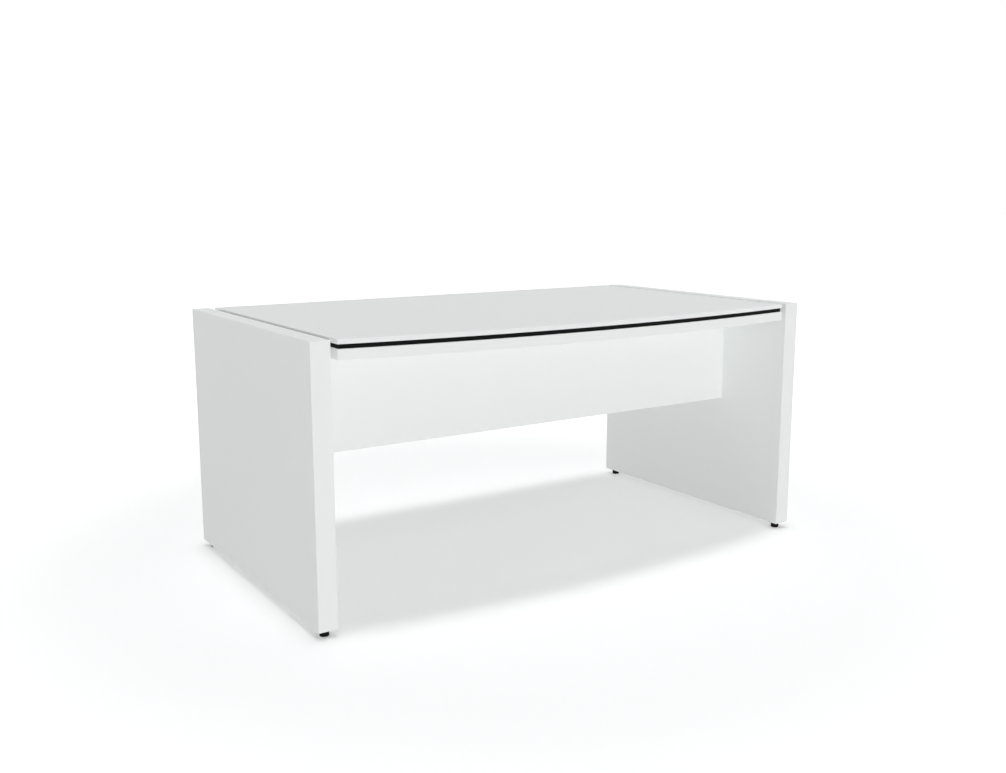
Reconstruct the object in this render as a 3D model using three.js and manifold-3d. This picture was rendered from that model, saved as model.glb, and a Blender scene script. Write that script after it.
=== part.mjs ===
import * as THREE from "three";
import { mergeVertices } from "three/addons/utils/BufferGeometryUtils.js";
import Module from "manifold-3d";

// Executive desk: a bowed three-layer top held between two thick side panels,
// with a modesty panel below it and four levelling feet.
// Millimetres, +Z up. The origin is on the floor, under the middle of the whole outline.
// +X runs along the desk, and -Y faces the visitor, on the side where the top bows out.

// The whole desk
const deskWidth = 1700;
const panelDepth = 900;
const panelHeight = 738;
const panelThickness = 54;
const footHeight = 20;
const shadowGap = 18;
const bowRise = 66;

// Layers of the top
const upperBoardThickness = 12.5;
const coreBoardThickness = 11.5;
const lowerBoardThickness = 28;
const coreBoardInset = 4;

// Edge bands on the boards
const bandThickness = 2;
const bandRadius = 1.2;

// Modesty panel
const modestyThickness = 18;
const modestySetback = 272;
const modestyHeight = 299;

// Black spacer rails in the gaps beside the top
const railDrop = 5.2;
const railLift = 3;
const railEndSetback = 50;
const railEdgeRadius = 1;
const railBoltEndDistance = 70;

// Connecting bolts
const boltThreadRadius = 3;
const boltThreadLength = 14;
const boltShaftRadius = 3.5;
const boltNeckRadius = 2.2;
const boltHeadRadius = 3.5;
const boltHeadLength = 2.4;
const boltChamfer = 0.6;
const modestyBoltEdgeDistance = 60;

// Cams that lock the bolts
const camSetback = 34;
const camHeadRoom = 0.4;
const camRise = 1.2;
const camWall = 2;
const camRoof = 1.2;
const camDriveWidth = 1.4;
const camDriveLength = 7;
const camDriveDepth = 2.5;
const camTurn = Math.PI;
const camRunOut = Math.PI / 6;

// Angle brackets between modesty panel and top
const bracketLeg = 40;
const bracketWidth = 50;
const bracketThickness = 2;
const bracketBend = 4;
const bracketHoleRadius = 2.5;
const bracketHoleDistance = 26;
const bracketHoleSpacing = 30;
const bracketEndDistance = 250;

// Levelling feet
const footEdgeDistance = 29;
const padRadius = 12.5;
const padEdgeRadius = 1.5;
const padTopChamfer = 0.8;
const padFloor = 6;
const fluteRadius = 1.6;
const fluteDepth = 0.5;
const stemRadius = 4;
const stemChamfer = 0.8;
const stemProud = 8;
const insertRadius = 7;
const insertLength = 25;
const insertBarbDepth = 0.7;

// Fits
const fitClearance = 0.3;
const cutOverrun = 2;

// Counts
const bowSteps = 32;
const cornerSteps = 2;
const roundSides = 24;
const smallSides = 12;
const boltSides = 10;
const camSides = 16;
const camRoomSteps = 16;
const camSlotSteps = 6;
const fluteSides = 8;
const bracketBendSteps = 4;
const boltsPerRail = 3;
const boltsPerModestyEnd = 2;
const bracketCount = 3;
const fluteCount = 12;
const insertBarbs = 5;

// Places that several pieces share
const topThickness = upperBoardThickness + coreBoardThickness + lowerBoardThickness;
const innerWidth = deskWidth - 2 * panelThickness;
const topWidth = innerWidth - 2 * shadowGap;
const panelFrontY = (bowRise - panelDepth) / 2;
const underTopZ = panelHeight - topThickness;
const camTightRadius = boltHeadRadius + fitClearance + camHeadRoom;
const camRadius = camTightRadius + camRise + camWall;
const camHeightIn = (thickness) => thickness / 2 + boltHeadRadius + fitClearance + camRoof;

const wasm = await Module();
wasm.setup();

// Surface finishes, a new material for each piece
const finishes = {
  melamine: { color: 0xf1f2f1, roughness: 0.42, metalness: 0 },
  edging: { color: 0xf3f4f3, roughness: 0.38, metalness: 0 },
  blackBoard: { color: 0x161716, roughness: 0.5, metalness: 0 },
  blackLacquer: { color: 0x1a1b1b, roughness: 0.4, metalness: 0 },
  zinc: { color: 0xb9bcbe, roughness: 0.4, metalness: 1 },
  steel: { color: 0xc4c6c8, roughness: 0.3, metalness: 1 },
  blackPlastic: { color: 0x121313, roughness: 0.55, metalness: 0 },
  nylon: { color: 0xd9d8d2, roughness: 0.6, metalness: 0 },
};

// Adds one named piece to a group
function addPiece(parent, name, geometry, finish) {
  const mesh = new THREE.Mesh(geometry, new THREE.MeshStandardMaterial(finishes[finish]));
  mesh.name = name;
  parent.add(mesh);
  return mesh;
}

// A closed geometry as a solid that can be cut
function solidOf(geometry) {
  const bare = geometry.clone();
  bare.deleteAttribute("normal");
  bare.deleteAttribute("uv");
  const merged = mergeVertices(bare);
  const triVerts = new Uint32Array(merged.index.array);
  const vertProperties = merged.attributes.position.array;
  return new wasm.Manifold(new wasm.Mesh({ numProp: 3, vertProperties, triVerts }));
}

// A cut solid as a geometry again
function geometryOf(solid) {
  const mesh = solid.getMesh();
  const geometry = new THREE.BufferGeometry();
  const position = new THREE.BufferAttribute(mesh.vertProperties, mesh.numProp);
  geometry.setAttribute("position", position);
  geometry.setIndex(new THREE.BufferAttribute(mesh.triVerts, 1));
  geometry.computeVertexNormals();
  return geometry;
}

// Takes each cutter away from a geometry
function cut(geometry, cutters) {
  let solid = solidOf(geometry);
  for (const cutter of cutters) {
    solid = solid.subtract(solidOf(cutter));
  }
  return geometryOf(solid);
}

// A board centred across x, with y and z counted from its front lower edge
function block(width, depth, height) {
  return new THREE.BoxGeometry(width, depth, height).translate(0, depth / 2, height / 2);
}

// A round rod from one point to another
function rod(start, end, radius, rodSides = smallSides) {
  const along = new THREE.Vector3().subVectors(end, start);
  const length = along.length();
  const turn = new THREE.Quaternion();
  turn.setFromUnitVectors(new THREE.Vector3(0, 1, 0), along.normalize());
  const geometry = new THREE.CylinderGeometry(radius, radius, length, rodSides);
  geometry.translate(0, length / 2, 0).applyQuaternion(turn);
  return geometry.translate(start.x, start.y, start.z);
}

// The radius at which a faceted hole still clears a round piece all round
function clearRadius(radius, holeSides = smallSides) {
  return (radius + fitClearance) / Math.cos(Math.PI / holeSides);
}

// Skins a row of matching convex rings, closed at both ends, with its faces outwards
function loft(rings) {
  const size = rings[0].length;
  const last = (rings.length - 1) * size;
  const faces = [];
  for (let start = 0; start < last; start += size) {
    for (let corner = 0; corner < size; corner += 1) {
      const a = start + corner;
      const b = start + ((corner + 1) % size);
      faces.push(a, b, b + size, a, b + size, a + size);
    }
  }
  for (let corner = 1; corner + 1 < size; corner += 1) {
    faces.push(0, corner + 1, corner);
    faces.push(last, last + corner, last + corner + 1);
  }
  const geometry = new THREE.BufferGeometry().setFromPoints(rings.flat());
  geometry.setIndex(faces);
  if (solidOf(geometry).volume() < 0) {
    geometry.setIndex(faces.toReversed());
  }
  geometry.computeVertexNormals();
  return geometry;
}

// Points of a quarter round between two directions, as [across, up] pairs
function quarterRound(centre, radius, from) {
  const points = [];
  for (let step = 0; step <= cornerSteps; step += 1) {
    const angle = from + (step / cornerSteps) * (Math.PI / 2);
    points.push([centre[0] + radius * Math.cos(angle), centre[1] + radius * Math.sin(angle)]);
  }
  return points;
}

// Section of an edge band: flat where it is glued, with both outer edges rounded
function bandSection(boardThickness) {
  const reach = bandThickness - bandRadius;
  return [
    [0, 0],
    ...quarterRound([reach, bandRadius], bandRadius, -Math.PI / 2),
    ...quarterRound([reach, boardThickness - bandRadius], bandRadius, 0),
    [0, boardThickness],
  ];
}

// An edge band along stations of the board's edge. A station gives the glued corner
// and the outward step for the band's full thickness; across runs over the board's edge.
function edgeBand(boardThickness, stations, across) {
  const section = bandSection(boardThickness);
  const ringAt = (station) =>
    section.map(([out, over]) =>
      station.corner
        .clone()
        .addScaledVector(station.outward, out / bandThickness)
        .addScaledVector(across, over),
    );
  return loft(stations.map(ringAt));
}

const desk = new THREE.Group();

// Bolt places along the side panels, counted from a panel's front lower edge
const railBoltPitch =
  (panelDepth - 2 * (railEndSetback + railBoltEndDistance)) / (boltsPerRail - 1);
const railBoltPlaces = Array.from({ length: boltsPerRail }, (_, index) => ({
  y: railEndSetback + railBoltEndDistance + index * railBoltPitch,
  z: underTopZ + lowerBoardThickness / 2,
}));
const modestyBoltPitch =
  (modestyHeight - 2 * modestyBoltEdgeDistance) / (boltsPerModestyEnd - 1);
const modestyBoltPlaces = Array.from({ length: boltsPerModestyEnd }, (_, index) => ({
  y: modestySetback + modestyThickness / 2,
  z: underTopZ - modestyBoltEdgeDistance - index * modestyBoltPitch,
}));
const footPlaces = [
  { end: "front", y: footEdgeDistance },
  { end: "back", y: panelDepth - footEdgeDistance },
];
const sides = [
  { name: "left", sign: -1 },
  { name: "right", sign: 1 },
];

// Depth of the hole for a foot's insert and the stem's end above it
const footHoleDepth = insertLength + stemProud + fitClearance;

// Side panels: a thick board with bands on its front, back and top edges
function addSidePanel(side) {
  const panel = new THREE.Group();
  panel.position.set((side.sign * (deskWidth - panelThickness)) / 2, panelFrontY, footHeight);
  desk.add(panel);

  const innerX = (-side.sign * panelThickness) / 2;
  const into = side.sign * (boltThreadLength + fitClearance);
  const boltHoles = [...railBoltPlaces, ...modestyBoltPlaces].map((place) =>
    rod(
      new THREE.Vector3(innerX - side.sign * cutOverrun, place.y, place.z),
      new THREE.Vector3(innerX + into, place.y, place.z),
      clearRadius(boltThreadRadius),
    ),
  );
  const footHoles = footPlaces.map((place) =>
    rod(
      new THREE.Vector3(0, place.y, -cutOverrun),
      new THREE.Vector3(0, place.y, footHoleDepth),
      clearRadius(insertRadius),
    ),
  );
  const bandedDepth = panelDepth - 2 * bandThickness;
  const bandedHeight = panelHeight - bandThickness;
  const board = block(panelThickness, bandedDepth, bandedHeight).translate(0, bandThickness, 0);
  addPiece(panel, `${side.name}_side_panel`, cut(board, [...boltHoles, ...footHoles]), "melamine");

  const across = new THREE.Vector3(1, 0, 0);
  const bandAlong = (from, to, outward) =>
    edgeBand(panelThickness, [from, to].map((corner) => ({ corner, outward })), across);
  const left = -panelThickness / 2;
  const frontBand = bandAlong(
    new THREE.Vector3(left, bandThickness, 0),
    new THREE.Vector3(left, bandThickness, bandedHeight),
    new THREE.Vector3(0, -bandThickness, 0),
  );
  const backBand = bandAlong(
    new THREE.Vector3(left, panelDepth - bandThickness, 0),
    new THREE.Vector3(left, panelDepth - bandThickness, bandedHeight),
    new THREE.Vector3(0, bandThickness, 0),
  );
  const topBand = bandAlong(
    new THREE.Vector3(left, 0, bandedHeight),
    new THREE.Vector3(left, panelDepth, bandedHeight),
    new THREE.Vector3(0, 0, bandThickness),
  );
  addPiece(panel, `${side.name}_panel_front_band`, frontBand, "edging");
  addPiece(panel, `${side.name}_panel_back_band`, backBand, "edging");
  addPiece(panel, `${side.name}_panel_top_band`, topBand, "edging");
}
sides.forEach(addSidePanel);

// The bow is an arc through the top's front corners, bowRise ahead of them at the middle
const bowRadius = ((topWidth / 2) ** 2 + bowRise ** 2) / (2 * bowRise);
const bowCentreY = bowRadius - bowRise;
const onBow = (radius, angle) =>
  new THREE.Vector2(radius * Math.sin(angle), bowCentreY - radius * Math.cos(angle));

// Points along the bow of a board set in by an inset all round, from left to right
function bowPoints(inset) {
  const radius = bowRadius - inset;
  const halfAngle = Math.asin((topWidth / 2 - inset) / radius);
  return Array.from({ length: bowSteps + 1 }, (_, index) =>
    onBow(radius, halfAngle * ((2 * index) / bowSteps - 1)),
  );
}

// A bowed board of the top, set in by an inset all round
function bowedBoard(inset, thickness) {
  const halfWidth = topWidth / 2 - inset;
  const back = panelDepth - inset;
  const outline = new THREE.Shape([
    ...bowPoints(inset),
    new THREE.Vector2(halfWidth, back),
    new THREE.Vector2(-halfWidth, back),
  ]);
  return new THREE.ExtrudeGeometry(outline, { depth: thickness, bevelEnabled: false });
}

// Where the glued face of the front band meets the top's end, and where its outer face does
function bowEnd(sign, radius) {
  return onBow(radius, Math.asin((sign * topWidth) / 2 / radius));
}

// The four bands round one board of the top
function boardBands(thickness) {
  const across = new THREE.Vector3(0, 0, 1);
  const flat = (point) => new THREE.Vector3(point.x, point.y, 0);
  const gluedRadius = bowRadius - bandThickness;
  const glued = bowPoints(bandThickness);
  const stationAt = (inner, outer) => ({
    corner: flat(inner),
    outward: flat(outer).sub(flat(inner)),
  });
  const along = glued.map((point) => {
    const angle = Math.atan2(point.x, bowCentreY - point.y);
    return stationAt(point, onBow(bowRadius, angle));
  });
  const [leftEnd, rightEnd] = sides.map((side) =>
    stationAt(bowEnd(side.sign, gluedRadius), bowEnd(side.sign, bowRadius)),
  );
  const front = edgeBand(thickness, [leftEnd, ...along, rightEnd], across);

  const halfWidth = topWidth / 2 - bandThickness;
  const back = panelDepth - bandThickness;
  const straight = (corners, outward) =>
    edgeBand(thickness, corners.map((corner) => ({ corner: flat(corner), outward })), across);
  const backCorners = [
    new THREE.Vector2(-halfWidth, back),
    new THREE.Vector2(halfWidth, back),
  ];
  const backBand = straight(backCorners, new THREE.Vector3(0, bandThickness, 0));

  // An end band's front face lies on the glued face of the front band
  const endBand = (sign, boardCorner) => {
    const atFront = stationAt(boardCorner, bowEnd(sign, gluedRadius));
    const atBack = {
      corner: new THREE.Vector3(sign * halfWidth, panelDepth, 0),
      outward: new THREE.Vector3(sign * bandThickness, 0, 0),
    };
    return edgeBand(thickness, [atFront, atBack], across);
  };
  return {
    front,
    back: backBand,
    left: endBand(-1, glued[0]),
    right: endBand(1, glued[bowSteps]),
  };
}

// The top: two white boards with a black core board between them, set in all round
const top = new THREE.Group();
top.position.set(0, panelFrontY, footHeight + underTopZ);
desk.add(top);

// Cuts for the cams and bolts at both ends of the lower board
const topCamPlaces = sides.flatMap((side) =>
  railBoltPlaces.map((place, index) => ({
    side,
    number: index + 1,
    x: side.sign * (topWidth / 2 - camSetback),
    y: place.y,
  })),
);
const topBoltBores = topCamPlaces.map((place) =>
  rod(
    new THREE.Vector3(place.x, place.y, lowerBoardThickness / 2),
    new THREE.Vector3(
      place.side.sign * (topWidth / 2 + cutOverrun),
      place.y,
      lowerBoardThickness / 2,
    ),
    clearRadius(boltShaftRadius),
  ),
);
const topCamHoles = topCamPlaces.map((place) =>
  rod(
    new THREE.Vector3(place.x, place.y, -cutOverrun),
    new THREE.Vector3(place.x, place.y, camHeightIn(lowerBoardThickness) + fitClearance),
    clearRadius(camRadius),
  ),
);

function addTopBoard(name, thickness, z, cutters) {
  const layer = new THREE.Group();
  layer.position.z = z;
  top.add(layer);
  const board = cut(bowedBoard(bandThickness, thickness), cutters);
  addPiece(layer, `top_${name}_board`, board, "melamine");
  for (const [edge, band] of Object.entries(boardBands(thickness))) {
    const bored = cutters.length && (edge === "left" || edge === "right");
    addPiece(layer, `${name}_board_${edge}_band`, bored ? cut(band, cutters) : band, "edging");
  }
}
addTopBoard("lower", lowerBoardThickness, 0, [...topBoltBores, ...topCamHoles]);
addTopBoard("upper", upperBoardThickness, lowerBoardThickness + coreBoardThickness, []);
const coreBoard = addPiece(
  top,
  "top_core_board",
  bowedBoard(coreBoardInset, coreBoardThickness),
  "blackBoard",
);
coreBoard.position.z = lowerBoardThickness;

// Spacer rails: black bars that fill the gaps beside the top, short of both ends
function roundedSection(width, height, radius) {
  return new THREE.Shape(
    [
      ...quarterRound([width - radius, radius], radius, -Math.PI / 2),
      ...quarterRound([width - radius, height - radius], radius, 0),
      ...quarterRound([radius, height - radius], radius, Math.PI / 2),
      ...quarterRound([radius, radius], radius, Math.PI),
    ].map(([across, up]) => new THREE.Vector2(across, up)),
  );
}
const sectionAlongY = new THREE.Matrix4().makeBasis(
  new THREE.Vector3(1, 0, 0),
  new THREE.Vector3(0, 0, 1),
  new THREE.Vector3(0, -1, 0),
);
const railLength = panelDepth - 2 * railEndSetback;
const railHeight = topThickness - railDrop - railLift;

function addRail(side) {
  const section = roundedSection(shadowGap, railHeight, railEdgeRadius);
  const bar = new THREE.ExtrudeGeometry(section, { depth: railLength, bevelEnabled: false });
  bar.applyMatrix4(sectionAlongY).translate(-shadowGap / 2, railLength, 0);
  const bores = railBoltPlaces.map((place) => {
    const y = place.y - railEndSetback;
    const z = place.z - underTopZ - railLift;
    return rod(
      new THREE.Vector3(-shadowGap / 2 - cutOverrun, y, z),
      new THREE.Vector3(shadowGap / 2 + cutOverrun, y, z),
      clearRadius(boltShaftRadius),
    );
  });
  const rail = addPiece(desk, `${side.name}_spacer_rail`, cut(bar, bores), "blackLacquer");
  rail.position.set(
    (side.sign * (innerWidth - shadowGap)) / 2,
    panelFrontY + railEndSetback,
    footHeight + underTopZ + railLift,
  );
}
sides.forEach(addRail);

// Connecting bolt, from the tip of its thread to its head in the cam
function boltGeometry(reach) {
  const seat = camTightRadius - fitClearance;
  const shoulder = reach - Math.sqrt(seat ** 2 - boltNeckRadius ** 2);
  const fullHead = reach - Math.sqrt(seat ** 2 - boltHeadRadius ** 2);
  const headEnd = fullHead + boltHeadLength;
  const neckStart = reach - camRadius - fitClearance;
  const outline = [
    [0, 0],
    [boltThreadRadius - boltChamfer, 0],
    [boltThreadRadius, boltChamfer],
    [boltThreadRadius, boltThreadLength],
    [boltShaftRadius, boltThreadLength],
    [boltShaftRadius, boltThreadLength + neckStart - boltChamfer],
    [boltNeckRadius, boltThreadLength + neckStart],
    [boltNeckRadius, boltThreadLength + shoulder],
    [boltHeadRadius, boltThreadLength + fullHead],
    [boltHeadRadius, boltThreadLength + headEnd - boltChamfer],
    [boltHeadRadius - boltChamfer, boltThreadLength + headEnd],
    [0, boltThreadLength + headEnd],
  ];
  return new THREE.LatheGeometry(
    outline.map(([radius, along]) => new THREE.Vector2(radius, along)),
    boltSides,
  );
}

function addBolt(side, name, reach, y, z) {
  const bolt = addPiece(desk, name, boltGeometry(reach), "steel");
  bolt.position.set(side.sign * (innerWidth / 2 + boltThreadLength), panelFrontY + y, footHeight + z);
  bolt.rotation.z = (side.sign * Math.PI) / 2;
}

// A point at a distance and an angle from the middle
function polar(radius, angle) {
  return new THREE.Vector2(radius * Math.cos(angle), radius * Math.sin(angle));
}

// A flat outline given a height, centred on a level
function centredSlice(points, height, level) {
  const options = { depth: height, bevelEnabled: false };
  return new THREE.ExtrudeGeometry(new THREE.Shape(points), options).translate(
    0,
    0,
    level - height / 2,
  );
}

// Cam: a drum with a spiral room for the bolt's head and a slot for its neck.
// Its locked side faces +X, and its driven face is at z = 0.
function camGeometry(thickness) {
  const boltLevel = thickness / 2;
  const drumTop = new THREE.Vector3(0, 0, camHeightIn(thickness));
  const drum = rod(new THREE.Vector3(0, 0, 0), drumTop, camRadius, camSides);

  // The head's room widens from the locked side to the mouth, then closes in again
  const roomPoints = [];
  for (let step = 0; step < camRoomSteps; step += 1) {
    const angle = (step / camRoomSteps) * 2 * Math.PI;
    const closing = 1 - (angle - camTurn) / camRunOut;
    const openShare = angle <= camTurn ? angle / camTurn : Math.max(0, closing);
    roomPoints.push(polar(camTightRadius + camRise * openShare, angle));
  }
  const room = centredSlice(roomPoints, 2 * (boltHeadRadius + fitClearance), boltLevel);

  // The neck's slot runs from the locked side round to the mouth
  const slotRadius = camRadius + cutOverrun;
  const slotPoints = [new THREE.Vector2(0, 0)];
  for (let step = 0; step <= camSlotSteps; step += 1) {
    slotPoints.push(polar(slotRadius, (step / camSlotSteps) * camTurn));
  }
  const slot = centredSlice(slotPoints, 2 * (boltNeckRadius + fitClearance), boltLevel);
  const lockedNeck = rod(
    new THREE.Vector3(0, 0, boltLevel),
    new THREE.Vector3(slotRadius, 0, boltLevel),
    clearRadius(boltNeckRadius),
  );

  // The mouth lets the head in, opposite the locked side
  const mouthEnd = polar(slotRadius, camTurn);
  const mouth = rod(
    new THREE.Vector3(0, 0, boltLevel),
    new THREE.Vector3(mouthEnd.x, mouthEnd.y, boltLevel),
    clearRadius(boltHeadRadius),
  );

  // Cross recess for a screwdriver
  const blade = block(camDriveLength, camDriveWidth, camDriveDepth + cutOverrun);
  blade.translate(0, -camDriveWidth / 2, -cutOverrun);
  const crossBlade = blade.clone().rotateZ(Math.PI / 2);
  return cut(drum, [room, slot, lockedNeck, mouth, blade, crossBlade]);
}

// The cams of the top stand in its lower board, locked towards the side panels
topCamPlaces.forEach((place) => {
  const { side, number, x, y } = place;
  const geometry = camGeometry(lowerBoardThickness);
  const cam = addPiece(top, `${side.name}_top_cam_${number}`, geometry, "zinc");
  cam.position.set(x, y, 0);
  cam.rotation.z = side.sign < 0 ? Math.PI : 0;
  const z = underTopZ + lowerBoardThickness / 2;
  addBolt(side, `${side.name}_top_bolt_${number}`, shadowGap + camSetback, y, z);
});

// Modesty panel, from side panel to side panel, with a band on its lower edge
const modesty = new THREE.Group();
modesty.position.set(
  0,
  panelFrontY + modestySetback,
  footHeight + underTopZ - modestyHeight,
);
desk.add(modesty);

const modestyCamPlaces = sides.flatMap((side) =>
  modestyBoltPlaces.map((place, index) => ({
    side,
    number: index + 1,
    x: side.sign * (innerWidth / 2 - camSetback),
    z: place.z - underTopZ + modestyHeight,
    bolt: place,
  })),
);
const modestyCuts = modestyCamPlaces.flatMap((place) => {
  const middle = modestyThickness / 2;
  const camDepth = camHeightIn(modestyThickness) + fitClearance;
  const boreEnd = place.side.sign * (innerWidth / 2 + cutOverrun);
  return [
    rod(
      new THREE.Vector3(place.x, middle, place.z),
      new THREE.Vector3(boreEnd, middle, place.z),
      clearRadius(boltShaftRadius),
    ),
    rod(
      new THREE.Vector3(place.x, modestyThickness + cutOverrun, place.z),
      new THREE.Vector3(place.x, modestyThickness - camDepth, place.z),
      clearRadius(camRadius),
    ),
  ];
});
const modestyBoard = block(innerWidth, modestyThickness, modestyHeight - bandThickness);
modestyBoard.translate(0, 0, bandThickness);
addPiece(modesty, "modesty_panel", cut(modestyBoard, modestyCuts), "melamine");

const modestyBandStations = [-innerWidth / 2, innerWidth / 2].map((x) => ({
  corner: new THREE.Vector3(x, 0, bandThickness),
  outward: new THREE.Vector3(0, 0, -bandThickness),
}));
const modestyBand = edgeBand(modestyThickness, modestyBandStations, new THREE.Vector3(0, 1, 0));
addPiece(modesty, "modesty_bottom_band", modestyBand, "edging");

modestyCamPlaces.forEach((place) => {
  const { side, number, x, z, bolt } = place;
  const geometry = camGeometry(modestyThickness);
  const cam = addPiece(modesty, `${side.name}_modesty_cam_${number}`, geometry, "zinc");
  cam.position.set(x, modestyThickness, z);
  cam.rotation.set(Math.PI / 2, 0, side.sign < 0 ? Math.PI : 0);
  addBolt(side, `${side.name}_modesty_bolt_${number}`, camSetback, bolt.y, bolt.z);
});

// Angle brackets: bent steel strips in the corner behind the modesty panel, under the top
const sectionAlongX = new THREE.Matrix4().makeBasis(
  new THREE.Vector3(0, 1, 0),
  new THREE.Vector3(0, 0, 1),
  new THREE.Vector3(1, 0, 0),
);

function bracketGeometry() {
  const innerBend = bracketBend - bracketThickness;
  const section = new THREE.Shape();
  section.moveTo(0, -bracketLeg);
  section.lineTo(0, -bracketBend);
  section.absarc(bracketBend, -bracketBend, bracketBend, Math.PI, Math.PI / 2, true);
  section.lineTo(bracketLeg, 0);
  section.lineTo(bracketLeg, -bracketThickness);
  section.absarc(bracketBend, -bracketBend, innerBend, Math.PI / 2, Math.PI, false);
  section.lineTo(bracketThickness, -bracketLeg);
  const strip = new THREE.ExtrudeGeometry(section, {
    depth: bracketWidth,
    bevelEnabled: false,
    curveSegments: bracketBendSteps,
  });
  strip.applyMatrix4(sectionAlongX).translate(-bracketWidth / 2, 0, 0);
  const through = bracketThickness + cutOverrun;
  const holes = [-bracketHoleSpacing / 2, bracketHoleSpacing / 2].flatMap((x) => [
    rod(
      new THREE.Vector3(x, -cutOverrun, -bracketHoleDistance),
      new THREE.Vector3(x, through, -bracketHoleDistance),
      bracketHoleRadius,
    ),
    rod(
      new THREE.Vector3(x, bracketHoleDistance, cutOverrun),
      new THREE.Vector3(x, bracketHoleDistance, -through),
      bracketHoleRadius,
    ),
  ]);
  return cut(strip, holes);
}

const bracketPitch = (innerWidth - 2 * bracketEndDistance) / (bracketCount - 1);
for (let index = 0; index < bracketCount; index += 1) {
  const bracket = addPiece(modesty, `modesty_bracket_${index + 1}`, bracketGeometry(), "zinc");
  const x = bracketEndDistance - innerWidth / 2 + index * bracketPitch;
  bracket.position.set(x, modestyThickness, modestyHeight);
}

// Levelling feet: a fluted pad on a threaded stem, in an insert pressed into the panel.
// Each is turned about +Z, with the floor at z = 0.
function turned(outline, turnedSides) {
  const points = outline.map(([radius, height]) => new THREE.Vector2(radius, height));
  return new THREE.LatheGeometry(points, turnedSides).rotateX(Math.PI / 2);
}

function padGeometry() {
  const height = footHeight - fitClearance;
  const bore = clearRadius(stemRadius, roundSides);
  const outline = [
    [0, 0],
    ...quarterRound([padRadius - padEdgeRadius, padEdgeRadius], padEdgeRadius, -Math.PI / 2),
    [padRadius, height - padTopChamfer],
    [padRadius - padTopChamfer, height],
    [bore, height],
    [bore, padFloor],
    [0, padFloor],
  ];
  const fluteReach = padRadius + fluteRadius - fluteDepth;
  const flutes = Array.from({ length: fluteCount }, (_, index) => {
    const middle = polar(fluteReach, (index / fluteCount) * 2 * Math.PI);
    return rod(
      new THREE.Vector3(middle.x, middle.y, 2 * padEdgeRadius),
      new THREE.Vector3(middle.x, middle.y, footHeight + cutOverrun),
      fluteRadius,
      fluteSides,
    );
  });
  return cut(turned(outline, roundSides), flutes);
}

function stemGeometry() {
  const from = padFloor + fitClearance;
  const to = footHeight + insertLength + stemProud;
  const outline = [
    [0, from],
    [stemRadius - stemChamfer, from],
    [stemRadius, from + stemChamfer],
    [stemRadius, to - stemChamfer],
    [stemRadius - stemChamfer, to],
    [0, to],
  ];
  return turned(outline, roundSides);
}

// The insert's barbs point down, so that it holds in the board
function insertGeometry() {
  const bore = clearRadius(stemRadius);
  const root = insertRadius - insertBarbDepth;
  const pitch = insertLength / insertBarbs;
  const outline = [[bore, footHeight]];
  for (let barb = 0; barb < insertBarbs; barb += 1) {
    outline.push([insertRadius, footHeight + barb * pitch]);
    outline.push([root, footHeight + (barb + 1) * pitch]);
  }
  outline.push([bore, footHeight + insertLength], [bore, footHeight]);
  return turned(outline, smallSides);
}

sides.forEach((side) => {
  footPlaces.forEach((place) => {
    const foot = new THREE.Group();
    const x = (side.sign * (deskWidth - panelThickness)) / 2;
    foot.position.set(x, panelFrontY + place.y, 0);
    desk.add(foot);
    const name = `${place.end}_${side.name}_foot`;
    addPiece(foot, `${name}_pad`, padGeometry(), "blackPlastic");
    addPiece(foot, `${name}_stem`, stemGeometry(), "steel");
    addPiece(foot, `${name}_insert`, insertGeometry(), "nylon");
  });
});

export default desk;
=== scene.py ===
import math

import bmesh
import bpy
from mathutils import Matrix, Vector


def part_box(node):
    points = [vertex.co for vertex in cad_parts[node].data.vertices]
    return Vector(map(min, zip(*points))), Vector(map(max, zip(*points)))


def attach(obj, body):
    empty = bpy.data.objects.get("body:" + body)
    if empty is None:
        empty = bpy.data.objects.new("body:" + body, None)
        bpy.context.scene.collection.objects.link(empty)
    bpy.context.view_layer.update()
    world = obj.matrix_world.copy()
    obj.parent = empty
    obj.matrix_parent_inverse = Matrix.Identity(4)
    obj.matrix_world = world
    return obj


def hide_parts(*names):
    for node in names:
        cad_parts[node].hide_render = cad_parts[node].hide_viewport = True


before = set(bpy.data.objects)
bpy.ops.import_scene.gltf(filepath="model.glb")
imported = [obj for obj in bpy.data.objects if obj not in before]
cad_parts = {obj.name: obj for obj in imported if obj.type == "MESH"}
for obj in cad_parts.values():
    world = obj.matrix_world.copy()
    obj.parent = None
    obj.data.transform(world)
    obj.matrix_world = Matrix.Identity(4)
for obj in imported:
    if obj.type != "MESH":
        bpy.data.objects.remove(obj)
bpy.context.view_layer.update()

# Camera
# It stands in front of the desk and to its left, a little above the worktop,
# and takes in the height of the picture in a view of 40 degrees.
picture_width, picture_height = 1006, 773
view_height = math.radians(40)
focal_pixels = picture_height / 2 / math.tan(view_height / 2)
camera_place = (-1.84792, -2.76483, 1.09709)
camera_turn = (math.radians(79.8811), 0, math.radians(-33.4416))
camera_data = bpy.data.cameras.new("camera")
camera_data.sensor_fit = "HORIZONTAL"
camera_data.lens = focal_pixels * camera_data.sensor_width / picture_width
camera = bpy.data.objects.new("camera", camera_data)
camera.location = camera_place
camera.rotation_euler = camera_turn
bpy.context.scene.collection.objects.link(camera)
bpy.context.scene.camera = camera
bpy.context.scene.view_settings.view_transform = "Standard"

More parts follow.
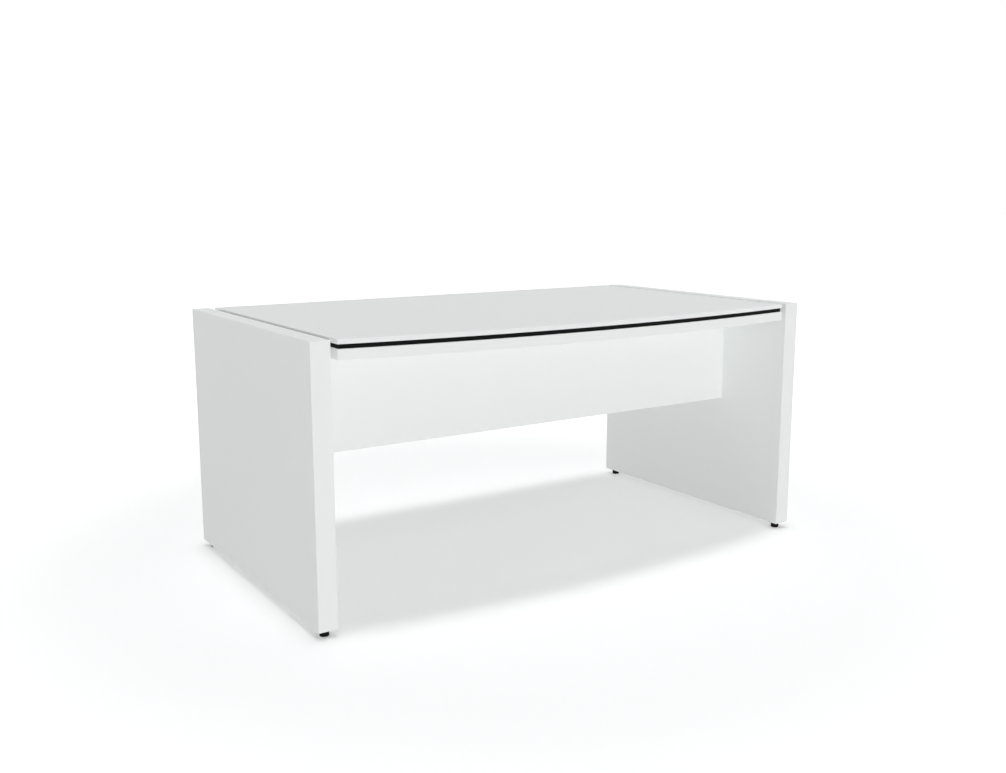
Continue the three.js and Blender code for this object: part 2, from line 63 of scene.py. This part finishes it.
# Light
# Even studio light, as in a light tent: soft suns without shadow, so that faces turned one
# way have one tone, and three far lamps that bring a slow drift in tone. A soft sun straight
# above brings the shadow.
room_light = 0.48
overhead_light = 0.94
overhead_spread = math.radians(10.5)
overhead_tint = (0.97, 0.98, 1.0)
sun_distance = 3
tent_spread = math.radians(105)
tent_sides = {
    "tent_front": ((0, -1, -0.3), 0.95),
    "tent_back": ((0, 1, -0.3), 0.77),
    "tent_right": ((1, 0, -0.3), 0.2),
    "tent_underside": ((0, 0, -1), 0.05),
}
far_lamps = {
    "low_left": ((-4.2, -3.2, 0.6), 97),
    "high_right": ((3.2, -3.0, 2.6), 70),
    "low_back": ((-1.2, 4.2, 0.4), 64),
}
far_lamp_radius = 0.4
upwards = Vector((0, 0, 1))


def add_lamp(name, kind, place, towards, strength, shadow=False):
    """A lamp at a place. A sun's light comes from the side that it is given."""
    lamp = bpy.data.lights.new(name, kind)
    lamp.energy = strength
    lamp.use_shadow = shadow
    # A lamp without shadow isn't to be partly hidden by what stands before it either
    lamp.cycles.use_multiple_importance_sampling = shadow
    holder = bpy.data.objects.new(name, lamp)
    holder.location = place
    holder.rotation_euler = Vector(towards).to_track_quat("Z", "Y").to_euler()
    bpy.context.scene.collection.objects.link(holder)
    return lamp


overhead = add_lamp("overhead", "SUN", sun_distance * upwards, upwards, overhead_light,
                    shadow=True)
overhead.angle = overhead_spread
overhead.color = overhead_tint
for lamp_name, (towards, strength) in tent_sides.items():
    side = add_lamp(lamp_name, "SUN", sun_distance * Vector(towards), towards, strength)
    side.angle = tent_spread
for lamp_name, (place, power) in far_lamps.items():
    far_lamp = add_lamp(lamp_name, "POINT", place, upwards, power)
    far_lamp.shadow_soft_size = far_lamp_radius


def seen_share(tree):
    """1 for a ray that shows the background, straight or in a reflection, else 0."""
    path = tree.nodes.new("ShaderNodeLightPath")
    shown = tree.nodes.new("ShaderNodeMath")
    shown.operation = "ADD"
    tree.links.new(path.outputs["Is Camera Ray"], shown.inputs[0])
    tree.links.new(path.outputs["Is Glossy Ray"], shown.inputs[1])
    both = tree.nodes.new("ShaderNodeMath")
    both.operation = "ADD"
    both.use_clamp = True
    tree.links.new(shown.outputs[0], both.inputs[0])
    tree.links.new(path.outputs["Is Transmission Ray"], both.inputs[1])
    return both.outputs[0]


white = (1, 1, 1, 1)
world = bpy.data.worlds.new("room")
bpy.context.scene.world = world
world.use_nodes = True
room = world.node_tree
lighting = room.nodes["Background"]
lighting.inputs["Color"].default_value = white
lighting.inputs["Strength"].default_value = room_light
backdrop = room.nodes.new("ShaderNodeBackground")
backdrop.inputs["Color"].default_value = white
backdrop.inputs["Strength"].default_value = 1.0
choice = room.nodes.new("ShaderNodeMixShader")
room.links.new(seen_share(room), choice.inputs["Fac"])
room.links.new(lighting.outputs[0], choice.inputs[1])
room.links.new(backdrop.outputs[0], choice.inputs[2])
room.links.new(choice.outputs[0], room.nodes["World Output"].inputs["Surface"])

# Floor
# A plain pale floor that runs out of sight. It is seen as white where it is lit, and keeps the
# desk's shadow.
# It also has a painted glow of its own, faint near the desk and stronger further off: painted
# light that whitens the far floor.
floor_size = 120
floor_paint = 0.7
floor_seen_paint = 1.0
# Painted light: the floor's own glow, weaker near the desk and stronger further off
painted_glow_near_desk, painted_glow_far_off = 0.042, 0.26
painted_glow_rise_from, painted_glow_rise_to = 1.1, 2.2
bpy.ops.object.select_all(action="DESELECT")
bpy.ops.mesh.primitive_plane_add(size=floor_size, location=(0, 0, 0))
floor = bpy.context.object
floor.name = "floor"
floor_finish = bpy.data.materials.new("pale_floor")
floor_finish.use_nodes = True
tree = floor_finish.node_tree
tree.nodes.clear()
plain = tree.nodes.new("ShaderNodeBsdfDiffuse")
plain.inputs["Color"].default_value = (floor_paint, floor_paint, floor_paint, 1)
seen = tree.nodes.new("ShaderNodeBsdfDiffuse")
seen.inputs["Color"].default_value = (floor_seen_paint, floor_seen_paint, floor_seen_paint, 1)
# Painted glow: the floor gives off light of its own, not lit by any lamp
painted_floor_glow = tree.nodes.new("ShaderNodeEmission")
spot = tree.nodes.new("ShaderNodeTexCoord")
reach = tree.nodes.new("ShaderNodeVectorMath")
reach.operation = "LENGTH"
tree.links.new(spot.outputs["Object"], reach.inputs[0])
# The painted glow grows with distance from the desk's middle, from the near to the far strength
painted_glow_spread = tree.nodes.new("ShaderNodeMapRange")
painted_glow_spread.interpolation_type = "SMOOTHSTEP"
painted_glow_spread.inputs["From Min"].default_value = painted_glow_rise_from
painted_glow_spread.inputs["From Max"].default_value = painted_glow_rise_to
painted_glow_spread.inputs["To Min"].default_value = painted_glow_near_desk
painted_glow_spread.inputs["To Max"].default_value = painted_glow_far_off
tree.links.new(reach.outputs["Value"], painted_glow_spread.inputs["Value"])
tree.links.new(painted_glow_spread.outputs["Result"], painted_floor_glow.inputs["Strength"])
seen_with_painted_glow = tree.nodes.new("ShaderNodeAddShader")
tree.links.new(seen.outputs[0], seen_with_painted_glow.inputs[0])
tree.links.new(painted_floor_glow.outputs[0], seen_with_painted_glow.inputs[1])
choice = tree.nodes.new("ShaderNodeMixShader")
tree.links.new(seen_share(tree), choice.inputs["Fac"])
tree.links.new(plain.outputs[0], choice.inputs[1])
tree.links.new(seen_with_painted_glow.outputs[0], choice.inputs[2])
output = tree.nodes.new("ShaderNodeOutputMaterial")
tree.links.new(choice.outputs[0], output.inputs["Surface"])
floor.data.materials.append(floor_finish)

# Side panels
# Each is three chipboards glued into one 54 mm board and faced with white melamine,
# whose pressed face has fine shallow dimples.
melamine_white = ((0.785, 0.800, 0.793), (0.800, 0.815, 0.808))
melamine_grain = (600, 600, 600)
melamine_roughness = (0.66, 0.76)
melamine_relief = 0.00003
melamine_gloss = 0.18
dimples_per_metre = 1400
grain_detail = 3.0
drift_per_metre, drift_detail = 3.0, 1.0
grain_share = drift_share = 0.5


def finish(name, tones, grain, roughness, relief, metallic=0.0, gloss=0.3, dimples=0):
    """A finish with a fine grain, counted per metre along x, y and z, and a slow drift in tone."""
    made = bpy.data.materials.new(name)
    made.use_nodes = True
    add = made.node_tree.nodes.new
    join = made.node_tree.links.new
    shader = made.node_tree.nodes["Principled BSDF"]
    shader.inputs["Metallic"].default_value = metallic
    shader.inputs["Specular IOR Level"].default_value = gloss

    place = add("ShaderNodeTexCoord")
    spread = add("ShaderNodeMapping")
    spread.inputs["Scale"].default_value = grain
    join(place.outputs["Object"], spread.inputs["Vector"])
    fine = add("ShaderNodeTexNoise")
    fine.inputs["Scale"].default_value = 1.0
    fine.inputs["Detail"].default_value = grain_detail
    join(spread.outputs["Vector"], fine.inputs["Vector"])
    slow = add("ShaderNodeTexNoise")
    slow.inputs["Scale"].default_value = drift_per_metre
    slow.inputs["Detail"].default_value = drift_detail
    join(place.outputs["Object"], slow.inputs["Vector"])

    both = add("ShaderNodeMath")
    both.operation = "MULTIPLY_ADD"
    both.inputs[1].default_value = grain_share
    join(fine.outputs["Fac"], both.inputs[0])
    drift = add("ShaderNodeMath")
    drift.operation = "MULTIPLY"
    drift.inputs[1].default_value = drift_share
    join(slow.outputs["Fac"], drift.inputs[0])
    join(drift.outputs[0], both.inputs[2])
    tone = add("ShaderNodeMix")
    tone.data_type = "RGBA"
    tone.inputs["A"].default_value = (*tones[0], 1)
    tone.inputs["B"].default_value = (*tones[1], 1)
    join(both.outputs[0], tone.inputs["Factor"])
    join(tone.outputs["Result"], shader.inputs["Base Color"])

    sheen = add("ShaderNodeMapRange")
    sheen.inputs["To Min"].default_value = roughness[0]
    sheen.inputs["To Max"].default_value = roughness[1]
    join(fine.outputs["Fac"], sheen.inputs["Value"])
    join(sheen.outputs["Result"], shader.inputs["Roughness"])

    height = fine.outputs["Fac"]
    if dimples:
        pits = add("ShaderNodeTexVoronoi")
        pits.feature = "SMOOTH_F1"
        pits.inputs["Scale"].default_value = dimples
        join(place.outputs["Object"], pits.inputs["Vector"])
        height = pits.outputs["Distance"]
    bump = add("ShaderNodeBump")
    bump.inputs["Strength"].default_value = 1.0
    bump.inputs["Distance"].default_value = relief
    join(height, bump.inputs["Height"])
    join(bump.outputs["Normal"], shader.inputs["Normal"])
    return made


def dress(node, surface):
    """Gives a CAD node its finish."""
    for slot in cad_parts[node].material_slots:
        slot.material = surface


melamine = finish("white_melamine", melamine_white, melamine_grain, melamine_roughness,
                  melamine_relief, gloss=melamine_gloss, dimples=dimples_per_metre)
for side in ("left", "right"):
    dress(f"{side}_side_panel", melamine)

# Edge bands of the side panels
# White plastic strips, 2 mm thick, glued to the front, back and top edges and milled
# to a small round along both arrises. The strip is drawn, so its grain runs lengthwise.
band_white = ((0.795, 0.810, 0.803), (0.808, 0.823, 0.816))
band_roughness = (0.60, 0.70)
band_relief = 0.000006
band_gloss = 0.22
across_grain, along_grain = 1500, 60
arris_angle = math.radians(50)
flat_within = math.radians(0.2)
same_place = 0.000001
largest_face_wins = 100


def band_finish(name, grain):
    """The bands' white, with its grain along one axis."""
    return finish(name, band_white, grain, band_roughness, band_relief, gloss=band_gloss)


band_along_x = band_finish("white_band_along_x", (along_grain, across_grain, across_grain))
band_along_y = band_finish("white_band_along_y", (across_grain, along_grain, across_grain))
band_along_z = band_finish("white_band_along_z", (across_grain, across_grain, along_grain))


def keep_flats_flat(piece):
    """Gives wide flat faces their own normals, so that only the small rounds are shaded round."""
    flats = piece.modifiers.new("flats", "WEIGHTED_NORMAL")
    flats.keep_sharp = True
    flats.weight = largest_face_wins
    bpy.ops.object.modifier_apply(modifier=flats.name)


def smooth_copy(node, surface, angle, body="desk"):
    """A merged copy of a CAD node, with its rounds shaded smooth, that stands for the node."""
    bpy.ops.object.select_all(action="DESELECT")
    piece = bpy.data.objects.new(f"{node}_finished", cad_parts[node].data.copy())
    bpy.context.scene.collection.objects.link(piece)
    bpy.context.view_layer.objects.active = piece
    piece.select_set(True)
    bpy.ops.object.mode_set(mode="EDIT")
    bpy.ops.mesh.select_all(action="SELECT")
    bpy.ops.mesh.remove_doubles(threshold=same_place)
    bpy.ops.mesh.dissolve_limited(angle_limit=flat_within)
    bpy.ops.object.mode_set(mode="OBJECT")
    bpy.ops.object.shade_smooth_by_angle(angle=angle)
    keep_flats_flat(piece)
    piece.data.materials.clear()
    piece.data.materials.append(surface)
    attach(piece, body)
    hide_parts(node)
    return piece


for side in ("left", "right"):
    for edge, surface in (("front", band_along_z), ("back", band_along_z), ("top", band_along_y)):
        smooth_copy(f"{side}_panel_{edge}_band", surface, arris_angle)

# The top's white boards
# Two bowed melamine boards, the lower one thicker, with banded edges.
# The front band is bent round the bow.
for layer in ("lower", "upper"):
    dress(f"top_{layer}_board", melamine)
    for edge, surface in (("front", band_along_x), ("back", band_along_x),
                          ("left", band_along_y), ("right", band_along_y)):
        smooth_copy(f"{layer}_board_{edge}_band", surface, arris_angle)

# Black core board
# A fibreboard dyed black right through, set in between the white boards.
# Its bare sawn edge is satin, with fine fibres that lie flat.
core_black = ((0.0030, 0.0034, 0.0032), (0.0052, 0.0058, 0.0055))
core_grain = (700, 700, 2600)
core_roughness = (0.62, 0.8)
core_relief = 0.00001
core_gloss = 0.06
bow_facet_angle = math.radians(20)
core_board = finish("black_fibreboard", core_black, core_grain, core_roughness, core_relief,
                    gloss=core_gloss)
smooth_copy("top_core_board", core_board, bow_facet_angle)

# Spacer rails
# Black lacquered bars that fill the gaps between the top and the side panels,
# below the worktop and short of both ends.
rail_black = ((0.0045, 0.0050, 0.0048), (0.0075, 0.0082, 0.0079))
rail_grain = (400, 120, 400)
rail_roughness = (0.42, 0.5)
rail_relief = 0.000006
rail_lacquer = finish("black_lacquer", rail_black, rail_grain, rail_roughness, rail_relief)
for side in ("left", "right"):
    smooth_copy(f"{side}_spacer_rail", rail_lacquer, arris_angle)

# Modesty panel
# An 18 mm melamine board between the side panels, drawn to them by bolts and cams.
# One white band closes its lower edge.
dress("modesty_panel", melamine)
smooth_copy("modesty_bottom_band", band_along_x, arris_angle)

# Connecting bolts
# Plated steel bolts with round heads, screwed into the side panels: three a side for the
# top and two for the modesty panel. The cams draw in their heads.
bolt_grey = ((0.56, 0.57, 0.58), (0.64, 0.65, 0.66))
bolt_grain = (2400, 2400, 2400)
bolt_roughness = (0.24, 0.36)
bolt_relief = 0.000006
metal_gloss = 0.5
bolt_round_angle = math.radians(40)
bolt_counts = {"top": 3, "modesty": 2}
plated_steel = finish("plated_steel", bolt_grey, bolt_grain, bolt_roughness, bolt_relief,
                      metallic=1.0, gloss=metal_gloss)
fittings = [(side, place, number) for side in ("left", "right")
            for place, count in bolt_counts.items() for number in range(1, count + 1)]
for side, place, number in fittings:
    smooth_copy(f"{side}_{place}_bolt_{number}", plated_steel, bolt_round_angle)

# Cams
# Die-cast zinc drums, let in flush under a thin rim, in the lower board and in the modesty
# panel's back. A cross recess takes the screwdriver, and a side room takes the bolt's head.
cam_radius = 0.0074
cam_sides = 64
cam_end_chamfer = 0.0003
cam_rim_radius = 0.0083
cam_rim_height = 0.0004
cam_rim_round, cam_rim_steps = 0.00018, 3
cam_dish_margin, cam_dish_depth = 0.0011, 0.00025
cam_cross_length, cam_cross_width, cam_cross_depth = 0.0068, 0.0014, 0.0024
bolt_room_radius, bolt_room_past_axis = 0.0038, 0.0025
bolt_room_sides = 48
bolt_room_overrun = 0.2 * cam_radius
bolt_depths = {"top": 0.014, "modesty": 0.009}
zinc_grey = ((0.50, 0.51, 0.52), (0.60, 0.61, 0.62))
cam_grain = (1800, 1800, 1800)
cam_roughness = (0.34, 0.46)
zinc_relief = 0.000008
cam_zinc = finish("cast_zinc", zinc_grey, cam_grain, cam_roughness, zinc_relief,
                  metallic=1.0, gloss=metal_gloss)
small_round_angle = math.radians(35)
quarter_turn = math.pi / 2
# Share of a height, radius or normal that counts as the whole of it
nearly = 0.98


def add_cylinder(sides, radius, bottom, top):
    """A cylinder on the z axis, with its place in its mesh, to be shaped further."""
    bpy.ops.object.select_all(action="DESELECT")
    bpy.ops.mesh.primitive_cylinder_add(vertices=sides, radius=radius, depth=top - bottom,
                                        location=(0, 0, (bottom + top) / 2))
    bpy.ops.object.transform_apply(location=True, rotation=True, scale=True)
    return bpy.context.object


def edit(what):
    """Opens the piece for editing by vertex, edge or face."""
    bpy.ops.object.mode_set(mode="EDIT")
    bpy.ops.mesh.select_mode(type=what)


def pick(kind, test):
    """Selects the vertices, edges or faces that pass a test in the mesh being edited."""
    bpy.ops.mesh.select_all(action="DESELECT")
    mesh = bmesh.from_edit_mesh(bpy.context.object.data)
    for element in getattr(mesh, kind):
        if test(element):
            element.select_set(True)
    mesh.select_flush_mode()
    bmesh.update_edit_mesh(bpy.context.object.data)


def extrude(x=0, z=0):
    """Extrudes what is selected by a step."""
    bpy.ops.mesh.extrude_region_move(TRANSFORM_OT_translate={"value": (x, 0, z)})


def cut_away(piece, cutter):
    """Takes the cutter away from the piece, and deletes the cutter."""
    bpy.ops.object.select_all(action="DESELECT")
    bpy.context.view_layer.objects.active = piece
    piece.select_set(True)
    cutting = piece.modifiers.new("cut", "BOOLEAN")
    cutting.operation = "DIFFERENCE"
    cutting.solver = "EXACT"
    cutting.object = cutter
    bpy.ops.object.modifier_apply(modifier=cutting.name)
    bpy.data.objects.remove(cutter)


def cut_cross(piece, level, length, width, depth):
    """Cuts a cross recess for a screwdriver into the face at a level on the z axis."""
    for turn in (0, quarter_turn):
        bpy.ops.object.select_all(action="DESELECT")
        bpy.ops.mesh.primitive_cube_add(size=1, location=(0, 0, level))
        blade = bpy.context.object
        blade.scale = (length, width, 2 * depth)
        blade.rotation_euler.z = turn
        cut_away(piece, blade)


def give_finish(piece, surface, angle):
    """Gives a modelled piece its finish, and shades its rounds smooth."""
    piece.data.materials.clear()
    piece.data.materials.append(surface)
    bpy.ops.object.shade_smooth_by_angle(angle=angle)


def make_cam(depth, bolt_depth):
    """A cam that stands on its rim, with its bolt coming in from the left."""
    cam = add_cylinder(cam_sides, cam_radius, 0, depth)
    edit("EDGE")
    pick("edges", lambda edge: all(v.co.z > depth * nearly for v in edge.verts))
    bpy.ops.mesh.bevel(offset=cam_end_chamfer, segments=1, affect="EDGES")
    bpy.ops.mesh.select_mode(type="FACE")
    pick("faces", lambda face: face.normal.z < -nearly)
    extrude()
    widening = cam_rim_radius / cam_radius
    bpy.ops.transform.resize(value=(widening, widening, 1))
    extrude(z=-cam_rim_height)
    bpy.ops.mesh.inset(thickness=cam_dish_margin)
    extrude(z=cam_dish_depth)
    bpy.ops.mesh.select_mode(type="EDGE")
    pick("edges", lambda edge: all(v.co.z < -cam_rim_height * nearly and
                                   v.co.xy.length > cam_rim_radius * nearly for v in edge.verts))
    bpy.ops.mesh.bevel(offset=cam_rim_round, segments=cam_rim_steps, affect="EDGES")
    bpy.ops.object.mode_set(mode="OBJECT")
    cut_cross(cam, 0, cam_cross_length, cam_cross_width, cam_cross_depth)
    room_length = bolt_room_past_axis + cam_radius + bolt_room_overrun
    bpy.ops.object.select_all(action="DESELECT")
    bpy.ops.mesh.primitive_cylinder_add(
        vertices=bolt_room_sides, radius=bolt_room_radius, depth=room_length,
        location=(bolt_room_past_axis - room_length / 2, 0, bolt_depth),
        rotation=(0, quarter_turn, 0))
    cut_away(cam, bpy.context.object)
    give_finish(cam, cam_zinc, small_round_angle)
    keep_flats_flat(cam)
    return cam


def place_copy(pattern, name, move, body, node=None):
    """Puts a copy of a modelled piece in its place, and in a CAD node's stead if one is named."""
    piece = bpy.data.objects.new(name, pattern.data.copy())
    bpy.context.scene.collection.objects.link(piece)
    piece.data.transform(move)
    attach(piece, body)
    if node:
        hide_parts(node)


cams = {}
for place, bolt_depth in bolt_depths.items():
    low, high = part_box(f"left_{place}_cam_1")
    cams[place] = make_cam(high.z - low.z if place == "top" else high.y - low.y, bolt_depth)
for side, place, number in fittings:
    node = f"{side}_{place}_cam_{number}"
    low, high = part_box(node)
    middle = (low + high) / 2
    if place == "top":
        seat, lean = Vector((middle.x, middle.y, low.z)), 0
    else:
        seat, lean = Vector((middle.x, high.y, middle.z)), quarter_turn
    to_the_bolt = Matrix.Rotation(0 if side == "left" else math.pi, 4, "Z")
    move = Matrix.Translation(seat) @ Matrix.Rotation(lean, 4, "X") @ to_the_bolt
    place_copy(cams[place], f"{node}_finished", move, "desk", node)
for cam in cams.values():
    bpy.data.objects.remove(cam)

# Angle brackets
# Strips of zinc-plated steel bent to a right angle in the corner behind the modesty
# panel. Their cut edges are rolled over a little.
bracket_edge_round, bracket_edge_steps = 0.0003, 2
bracket_edge_angle = math.radians(40)
bracket_bend_angle = math.radians(30)
bracket_grain = (150, 1600, 1600)
bracket_roughness = (0.3, 0.44)
bracket_steel = finish("bracket_zinc", zinc_grey, bracket_grain, bracket_roughness, zinc_relief,
                       metallic=1.0, gloss=metal_gloss)
bracket_numbers = (1, 2, 3)
for number in bracket_numbers:
    bracket = smooth_copy(f"modesty_bracket_{number}", bracket_steel, bracket_bend_angle)
    edge_round = bracket.modifiers.new("edge_round", "BEVEL")
    edge_round.width = bracket_edge_round
    edge_round.segments = bracket_edge_steps
    edge_round.limit_method = "ANGLE"
    edge_round.angle_limit = bracket_edge_angle
    bpy.ops.object.modifier_apply(modifier=edge_round.name)
    bpy.ops.object.shade_smooth_by_angle(angle=small_round_angle)
    keep_flats_flat(bracket)

# Bracket screws
# Pan-head steel screws with a cross recess, four in each bracket: two into the modesty
# panel and two up into the lower board.
screw_head_radius = 0.0043
screw_head_height = 0.0026
screw_head_sides = 32
screw_head_round, screw_head_steps = 0.0014, 5
screw_shank_radius = 0.0019
screw_shank_length = 0.015
screw_tip_share = 0.5
recess_width, recess_length, recess_depth = 0.0011, 0.0046, 0.0016
hole_spacing, hole_distance, bracket_thickness = 0.030, 0.026, 0.002
degrees_to_next_screw, degrees_to_next_bracket = 37, 23

screw = add_cylinder(screw_head_sides, screw_head_radius, 0, screw_head_height)
edit("EDGE")
pick("edges", lambda edge: all(v.co.z > screw_head_height * nearly for v in edge.verts))
bpy.ops.mesh.bevel(offset=screw_head_round, segments=screw_head_steps, affect="EDGES")
bpy.ops.mesh.select_mode(type="FACE")
pick("faces", lambda face: face.normal.z < -nearly)
bpy.ops.mesh.inset(thickness=screw_head_radius - screw_shank_radius)
extrude(z=-screw_shank_length)
bpy.ops.transform.resize(value=(screw_tip_share, screw_tip_share, 1.0))
bpy.ops.object.mode_set(mode="OBJECT")
cut_cross(screw, screw_head_height, recess_length, recess_width, recess_depth)
give_finish(screw, plated_steel, small_round_angle)

for number in bracket_numbers:
    low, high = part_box(f"modesty_bracket_{number}")
    middle = (low.x + high.x) / 2
    # Heads point back from the modesty panel's leg and down from the top's leg
    seats = []
    for offset in (-hole_spacing / 2, hole_spacing / 2):
        seats.append((Vector((middle + offset, low.y + bracket_thickness,
                              high.z - hole_distance)), Vector((0, 1, 0))))
        seats.append((Vector((middle + offset, low.y + hole_distance,
                              high.z - bracket_thickness)), Vector((0, 0, -1))))
    for index, (seat, facing) in enumerate(seats):
        turn = facing.to_track_quat("Z", "Y").to_matrix().to_4x4()
        degrees = degrees_to_next_screw * index + degrees_to_next_bracket * number
        own_turn = Matrix.Rotation(math.radians(degrees), 4, "Z")
        place_copy(screw, f"bracket_{number}_screw_{index + 1}",
                   Matrix.Translation(seat) @ turn @ own_turn, "desk")
bpy.data.objects.remove(screw)

# Foot pads
# Black moulded pads, 25 mm across, with finger flutes round the rim and a blind bore
# for the stem. The lower rim is rounded so that it slides.
pad_height = 0.0197
pad_radius = 0.0125
pad_sides = 96
pad_rim_round, pad_rim_steps = 0.0007, 5
pad_top_chamfer, pad_top_steps = 0.0008, 2
pad_bore_radius = 0.00434
pad_bore_floor = 0.006
flute_count, flute_sides = 12, 24
flute_radius = 0.0016
flute_depth = 0.0005
pad_black = ((0.0030, 0.0033, 0.0032), (0.0058, 0.0062, 0.0060))
pad_grain = (1900, 1900, 1900)
pad_roughness = (0.5, 0.64)
pad_relief = 0.00002
pad_gloss = 0.07
pad_plastic = finish("black_polyamide", pad_black, pad_grain, pad_roughness, pad_relief,
                     gloss=pad_gloss)
nylon_white = ((0.60, 0.59, 0.55), (0.67, 0.66, 0.62))
nylon_grain = (900, 900, 900)
nylon_roughness = (0.4, 0.55)
nylon_relief = 0.00001
insert_nylon = finish("nylon", nylon_white, nylon_grain, nylon_roughness, nylon_relief)
foot_round_angle = math.radians(30)
feet = [f"{end}_{side}" for side in ("left", "right") for end in ("front", "back")]

pad = add_cylinder(pad_sides, pad_radius, 0, pad_height)
edit("EDGE")
pick("edges", lambda edge: all(v.co.z < pad_height * (1 - nearly) for v in edge.verts))
bpy.ops.mesh.bevel(offset=pad_rim_round, segments=pad_rim_steps, affect="EDGES")
pick("edges", lambda edge: all(v.co.z > pad_height * nearly for v in edge.verts))
bpy.ops.mesh.bevel(offset=pad_top_chamfer, segments=pad_top_steps, affect="EDGES")
bpy.ops.mesh.select_mode(type="FACE")
pick("faces", lambda face: face.normal.z > nearly)
bpy.ops.mesh.inset(thickness=pad_radius - pad_top_chamfer - pad_bore_radius)
extrude(z=pad_bore_floor - pad_height)
bpy.ops.object.mode_set(mode="OBJECT")
flute_reach = pad_radius + flute_radius - flute_depth
for index in range(flute_count):
    angle = 2 * math.pi * index / flute_count
    bpy.ops.object.select_all(action="DESELECT")
    bpy.ops.mesh.primitive_cylinder_add(
        vertices=flute_sides, radius=flute_radius, depth=pad_height,
        location=(flute_reach * math.cos(angle), flute_reach * math.sin(angle),
                  2 * pad_rim_round + pad_height / 2))
    cut_away(pad, bpy.context.object)
give_finish(pad, pad_plastic, foot_round_angle)

for foot in feet:
    low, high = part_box(f"{foot}_foot_pad")
    axis = (low + high) / 2
    place_copy(pad, f"{foot}_foot_pad_finished", Matrix.Translation((axis.x, axis.y, 0)),
               f"{foot}_pad", f"{foot}_foot_pad")
    dress(f"{foot}_foot_insert", insert_nylon)
bpy.data.objects.remove(pad)

# Foot stems
# Steel studs with a rolled thread of 8 mm and 1.25 mm pitch, chamfered at both ends.
# Each is fixed in its pad, and the thread climbs in the nylon insert.
stem_low, stem_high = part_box("front_left_foot_stem")
stem_bottom, stem_top = stem_low.z, stem_high.z
thread_pitch = 0.00125
thread_crest = 0.00397
thread_root = 0.00322
thread_land, thread_flank = thread_pitch / 8, 3 * thread_pitch / 8
thread_depth = thread_crest - thread_root
stem_chamfer = 0.0008
stem_sides = 48
crest_room = stem_chamfer / 8
steps_per_turn = 24
spare_turns = 3
turn_count = math.ceil((stem_top - stem_bottom) / thread_pitch) + spare_turns
same_thread_place = 0.000002
on_the_cut = 0.0000001
stem_grain = (2600, 2600, 900)
stem_roughness = (0.26, 0.32)
stem_relief = 0.000001
stem_steel = finish("thread_steel", bolt_grey, stem_grain, stem_roughness, stem_relief,
                    metallic=1.0, gloss=metal_gloss)

# One pitch of the thread's outline grows from a single point, and is wound into a screw
bpy.ops.object.select_all(action="DESELECT")
bpy.ops.mesh.primitive_plane_add(size=thread_pitch, location=(0, 0, 0))
stem = bpy.context.object
edit("VERT")
bpy.ops.mesh.select_all(action="SELECT")
bpy.ops.mesh.merge(type="CENTER")
bpy.ops.transform.translate(value=(thread_root, 0, stem_bottom - 1.5 * thread_pitch))
for outwards, up in ((0, thread_land), (thread_depth, thread_flank),
                     (0, thread_land), (-thread_depth, thread_flank)):
    extrude(outwards, up)
bpy.ops.object.mode_set(mode="OBJECT")
winding = stem.modifiers.new("winding", "SCREW")
winding.axis = "Z"
winding.angle = 2 * math.pi
winding.screw_offset = thread_pitch
winding.iterations = turn_count
winding.steps = steps_per_turn
winding.render_steps = steps_per_turn
winding.use_merge_vertices = True
winding.merge_threshold = same_place
bpy.ops.object.modifier_apply(modifier=winding.name)
edit("VERT")
bpy.ops.mesh.select_all(action="SELECT")
bpy.ops.mesh.remove_doubles(threshold=same_thread_place)
# Cut flat just past both ends, which the envelope then trims to length
for level, direction in ((stem_bottom - thread_pitch / 2, -1), (stem_top + thread_pitch / 2, 1)):
    bpy.ops.mesh.select_all(action="SELECT")
    bpy.ops.mesh.bisect(plane_co=(0, 0, level), plane_no=(0, 0, direction), use_fill=True,
                        clear_outer=True, threshold=on_the_cut)
bpy.ops.mesh.select_all(action="SELECT")
bpy.ops.mesh.normals_make_consistent(inside=False)
bpy.ops.object.mode_set(mode="OBJECT")

envelope = add_cylinder(stem_sides, thread_crest + crest_room, stem_bottom, stem_top)
edit("EDGE")
pick("edges", lambda edge: abs(edge.verts[0].co.z - edge.verts[1].co.z) < thread_pitch)
bpy.ops.mesh.bevel(offset=stem_chamfer, segments=1, affect="EDGES")
bpy.ops.object.mode_set(mode="OBJECT")
bpy.ops.object.select_all(action="DESELECT")
bpy.context.view_layer.objects.active = stem
stem.select_set(True)
trimming = stem.modifiers.new("trim", "BOOLEAN")
trimming.operation = "INTERSECT"
trimming.solver = "EXACT"
trimming.object = envelope
bpy.ops.object.modifier_apply(modifier=trimming.name)
bpy.data.objects.remove(envelope)
bpy.ops.object.mode_set(mode="EDIT")
bpy.ops.mesh.select_all(action="SELECT")
bpy.ops.mesh.remove_doubles(threshold=same_thread_place)
bpy.ops.object.mode_set(mode="OBJECT")
give_finish(stem, stem_steel, foot_round_angle)

for foot in feet:
    low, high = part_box(f"{foot}_foot_stem")
    axis = (low + high) / 2
    place_copy(stem, f"{foot}_foot_stem_finished", Matrix.Translation((axis.x, axis.y, 0)),
               f"{foot}_stem", f"{foot}_foot_stem")
bpy.data.objects.remove(stem)
